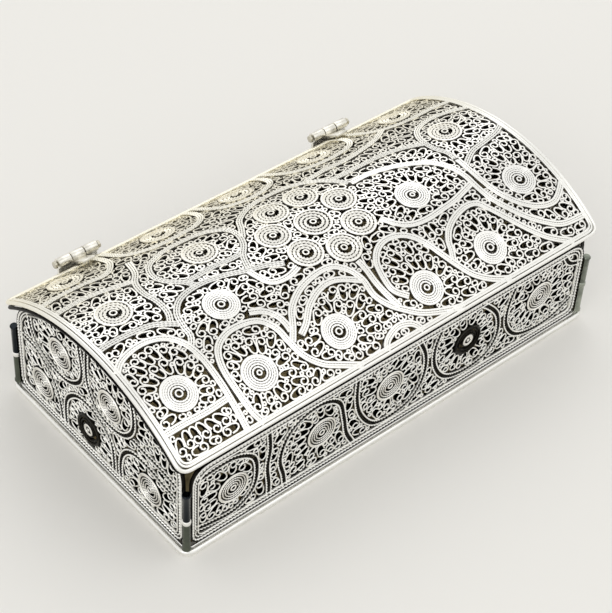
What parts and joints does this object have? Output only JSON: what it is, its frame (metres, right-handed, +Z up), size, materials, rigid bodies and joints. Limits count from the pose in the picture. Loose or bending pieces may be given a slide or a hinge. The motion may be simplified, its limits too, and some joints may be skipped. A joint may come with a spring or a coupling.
{
  "type": "filigree jewelry box",
  "caption": "Small oblong jewelry box of silver wire filigree, with openwork walls between corner posts and a vaulted lid hinged along the back.",
  "frame": {"origin": "middle of the resting face, under the middle of the base", "axes": "+X along the box to the right as seen from the front, +Y to the back, where the hinges are, +Z up"},
  "size_m": [0.1322, 0.0729, 0.0411],
  "materials": {
    "bright_silver_wire": "bright drawn silver wire and strip, soldered and lightly polished",
    "white_silver_coils": "pickled white silver, finely ribbed by the twisted wire of the coils",
    "oxidised_silver_web": "silver wire openwork, grey where it has tarnished in the gaps",
    "dark_polished_silver": "smooth polished rod, darkened by tarnish",
    "tarnished_silver_sheet": "rolled sheet with a dull yellowish grey tarnish"
  },
  "bodies": {
    "base": {"base_plate": "tarnished_silver_sheet", "base_rim": "bright_silver_wire", "corner_post_front_left": "dark_polished_silver", "corner_post_front_right": "dark_polished_silver", "corner_post_back_left": "dark_polished_silver", "corner_post_back_right": "dark_polished_silver", "front_filigree": "oxidised_silver_web", "front_scroll_frame": "bright_silver_wire", "front_rosette_1": "white_silver_coils", "front_rosette_2": "white_silver_coils", "front_rosette_3": "white_silver_coils", "front_rosette_4": "white_silver_coils", "front_rosette_5": "white_silver_coils", "back_filigree": "oxidised_silver_web", "back_scroll_frame": "bright_silver_wire", "back_rosette_1": "white_silver_coils", "back_rosette_2": "white_silver_coils", "back_rosette_3": "white_silver_coils", "back_rosette_4": "white_silver_coils", "back_rosette_5": "white_silver_coils", "left_end_filigree": "oxidised_silver_web", "left_end_scroll_frame": "bright_silver_wire", "left_end_rosette_1": "white_silver_coils", "left_end_rosette_2": "white_silver_coils", "left_end_rosette_3": "white_silver_coils", "left_end_rosette_4": "white_silver_coils", "left_end_rosette_5": "white_silver_coils", "right_end_filigree": "oxidised_silver_web", "right_end_scroll_frame": "bright_silver_wire", "right_end_rosette_1": "white_silver_coils", "right_end_rosette_2": "white_silver_coils", "right_end_rosette_3": "white_silver_coils", "right_end_rosette_4": "white_silver_coils", "right_end_rosette_5": "white_silver_coils", "hinge_left_base_leaf": "bright_silver_wire", "hinge_left_pin": "dark_polished_silver", "hinge_right_base_leaf": "bright_silver_wire", "hinge_right_pin": "dark_polished_silver"},
    "lid": {"lid_filigree": "oxidised_silver_web", "lid_scroll_frame": "bright_silver_wire", "lid_flower": "white_silver_coils", "lid_rosette_1": "white_silver_coils", "lid_rosette_2": "white_silver_coils", "lid_rosette_3": "white_silver_coils", "lid_rosette_4": "white_silver_coils", "lid_rosette_5": "white_silver_coils", "lid_rosette_6": "white_silver_coils", "lid_rosette_7": "white_silver_coils", "lid_rosette_8": "white_silver_coils", "lid_rosette_9": "white_silver_coils", "lid_rosette_10": "white_silver_coils", "lid_rosette_11": "white_silver_coils", "lid_rosette_12": "white_silver_coils", "lid_rosette_13": "white_silver_coils", "lid_rosette_14": "white_silver_coils", "lid_rosette_15": "white_silver_coils", "lid_rosette_16": "white_silver_coils", "hinge_left_lid_leaf": "bright_silver_wire", "hinge_right_lid_leaf": "bright_silver_wire"}
  },
  "joints": [
    {"name": "lid_hinge", "type": "hinge", "parent": "base", "child": "lid", "pos_m": [0, 0.0364, 0.03], "axis": [-1, 0, 0], "range_deg": [0, 100]}
  ]
}
